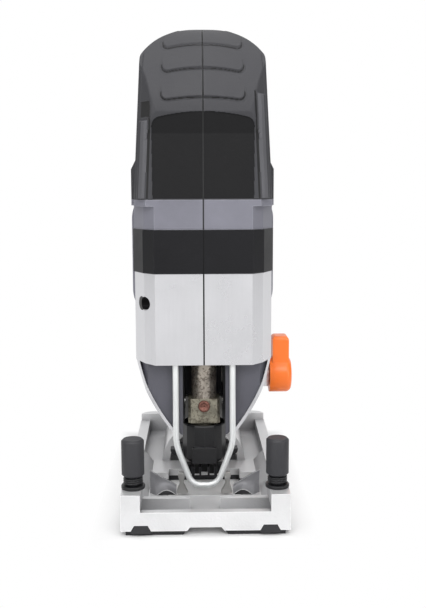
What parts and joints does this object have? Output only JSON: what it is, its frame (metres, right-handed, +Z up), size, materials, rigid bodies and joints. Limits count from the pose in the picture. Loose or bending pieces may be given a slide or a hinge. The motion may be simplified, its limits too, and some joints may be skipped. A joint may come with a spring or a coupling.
{
  "type": "jigsaw power tool",
  "caption": "Hand-held jigsaw with closed D handle, tilting cast base, blade clamp on a driven plunger, wire finger guard, orbital-action lever and fence thumb knobs.",
  "frame": {"origin": "centre of the sole face that lies on the work, under the tilt axis", "axes": "+Z up from the work, -Y towards the blade end, +X towards the orbital-action lever"},
  "size_m": [0.0835, 0.2166, 0.2291],
  "materials": {
    "soft_grip": "soft matt grip, fine grain",
    "grey_plastic": "grey moulded, fine grain",
    "band_plastic": "black moulded, satin",
    "silver_head": "silver satin",
    "dark_panel": "dark bluish grey, matt",
    "rubber_pad": "matt black",
    "bright_steel": "ground bright",
    "cast_aluminium": "pale cast, lightly blasted",
    "bronze": "sintered bronze",
    "lamination": "stacked sheet",
    "copper": "copper",
    "carbon": "graphite",
    "black_plastic": "black moulded",
    "sole_plastic": "black glide sole",
    "orange_plastic": "orange moulded",
    "grey_zinc": "grey zinc coated steel"
  },
  "bodies": {
    "housing": {"handle_left": "soft_grip", "handle_right": "soft_grip", "housing_left": "grey_plastic", "housing_right": "grey_plastic", "band_left": "band_plastic", "band_right": "band_plastic", "head_cover_left": "silver_head", "head_cover_right": "silver_head", "lower_panel_left": "dark_panel", "lower_panel_right": "dark_panel", "side_pad_left": "rubber_pad", "side_pad_right": "rubber_pad", "housing_screws": "bright_steel", "finger_guard": "bright_steel", "gear_frame": "cast_aluminium", "upper_guide_bush": "bronze", "lower_guide_bush": "bronze", "bevel_clamp_plate": "grey_zinc", "bevel_clamp_bolt": "bright_steel", "gear_axle": "bright_steel", "fork_pin": "bright_steel", "stator_core": "lamination", "field_coils": "copper", "front_bearing": "bright_steel", "rear_bearing": "bright_steel", "brush_holders": "black_plastic", "carbon_brushes": "carbon", "switch_body": "black_plastic", "speed_control": "black_plastic", "cord_gland": "rubber_pad"},
    "armature": {"armature_shaft": "bright_steel", "armature_core": "lamination", "commutator": "copper", "cooling_fan": "black_plastic", "drive_pinion": "bright_steel"},
    "gear": {"drive_gear": "bright_steel", "crank_pin": "bright_steel", "crank_roller": "bright_steel"},
    "plunger": {"plunger_rod": "bright_steel", "crosshead_yoke": "grey_zinc", "blade_clamp_block": "grey_zinc", "clamp_rivet": "copper"},
    "collar": {"release_collar": "black_plastic"},
    "lever": {"orbit_lever": "orange_plastic", "orbit_cam_shaft": "grey_zinc"},
    "fork": {"roller_fork": "grey_zinc", "roller_pin": "bright_steel", "blade_guide": "black_plastic"},
    "roller": {"guide_roller": "bright_steel"},
    "base": {"base_plate": "cast_aluminium", "sole_plate": "sole_plastic", "knob_washers": "black_plastic", "knob_springs": "black_plastic"},
    "knob_left": {"fence_knob_left": "black_plastic"},
    "knob_right": {"fence_knob_right": "black_plastic"},
    "trigger": {"trigger": "black_plastic"},
    "lock_button": {"lock_button": "black_plastic"},
    "dial": {"speed_dial": "black_plastic"}
  },
  "joints": [
    {"name": "armature_spin", "type": "hinge", "parent": "housing", "child": "armature", "pos_m": [0, 0, 0.1191], "axis": [0, 1, 0], "continuous": true},
    {"name": "gear_spin", "type": "hinge", "parent": "housing", "child": "gear", "pos_m": [0, 0, 0.0966], "axis": [0, 1, 0], "continuous": true},
    {"name": "plunger_stroke", "type": "slide", "parent": "housing", "child": "plunger", "axis": [0, 0, 1], "range_m": [0, 0.02]},
    {"name": "collar_turn", "type": "hinge", "parent": "plunger", "child": "collar", "pos_m": [0, -0.02, 0.0175], "axis": [0, 0, 1], "range_deg": [0, 20], "stiffness_Nm_per_rad": 0.05},
    {"name": "fork_swing", "type": "hinge", "parent": "housing", "child": "fork", "pos_m": [0, -0.0056, 0.044], "axis": [-1, 0, 0], "range_deg": [0, 3], "stiffness_Nm_per_rad": 0.3},
    {"name": "roller_spin", "type": "hinge", "parent": "fork", "child": "roller", "pos_m": [0, -0.012, 0.01175], "axis": [1, 0, 0], "continuous": true},
    {"name": "lever_turn", "type": "hinge", "parent": "housing", "child": "lever", "pos_m": [0.0344, 0.003, 0.0555], "axis": [-1, 0, 0], "range_deg": [0, 90]},
    {"name": "base_tilt", "type": "hinge", "parent": "housing", "child": "base", "pos_m": [0, 0, 0.0045], "axis": [0, 1, 0], "range_deg": [-45, 45]},
    {"name": "knob_left_turn", "type": "hinge", "parent": "base", "child": "knob_left", "pos_m": [-0.0324, -0.06675, 0.0246], "axis": [0, 0, 1], "continuous": true},
    {"name": "knob_right_turn", "type": "hinge", "parent": "base", "child": "knob_right", "pos_m": [0.0324, -0.06675, 0.0246], "axis": [0, 0, 1], "continuous": true},
    {"name": "trigger_pull", "type": "slide", "parent": "housing", "child": "trigger", "axis": [0, 0, 1], "range_m": [0, 0.006], "stiffness_N_per_m": 800},
    {"name": "lock_press", "type": "slide", "parent": "housing", "child": "lock_button", "axis": [1, 0, 0], "range_m": [0, 0.0022], "stiffness_N_per_m": 500},
    {"name": "dial_turn", "type": "hinge", "parent": "housing", "child": "dial", "pos_m": [0, 0.1284, 0.1731], "axis": [1, 0, 0], "range_deg": [0, 270]}
  ],
  "couplings": [
    {"joint": "gear_spin", "follows": "armature_spin", "ratio": -0.2}
  ]
}
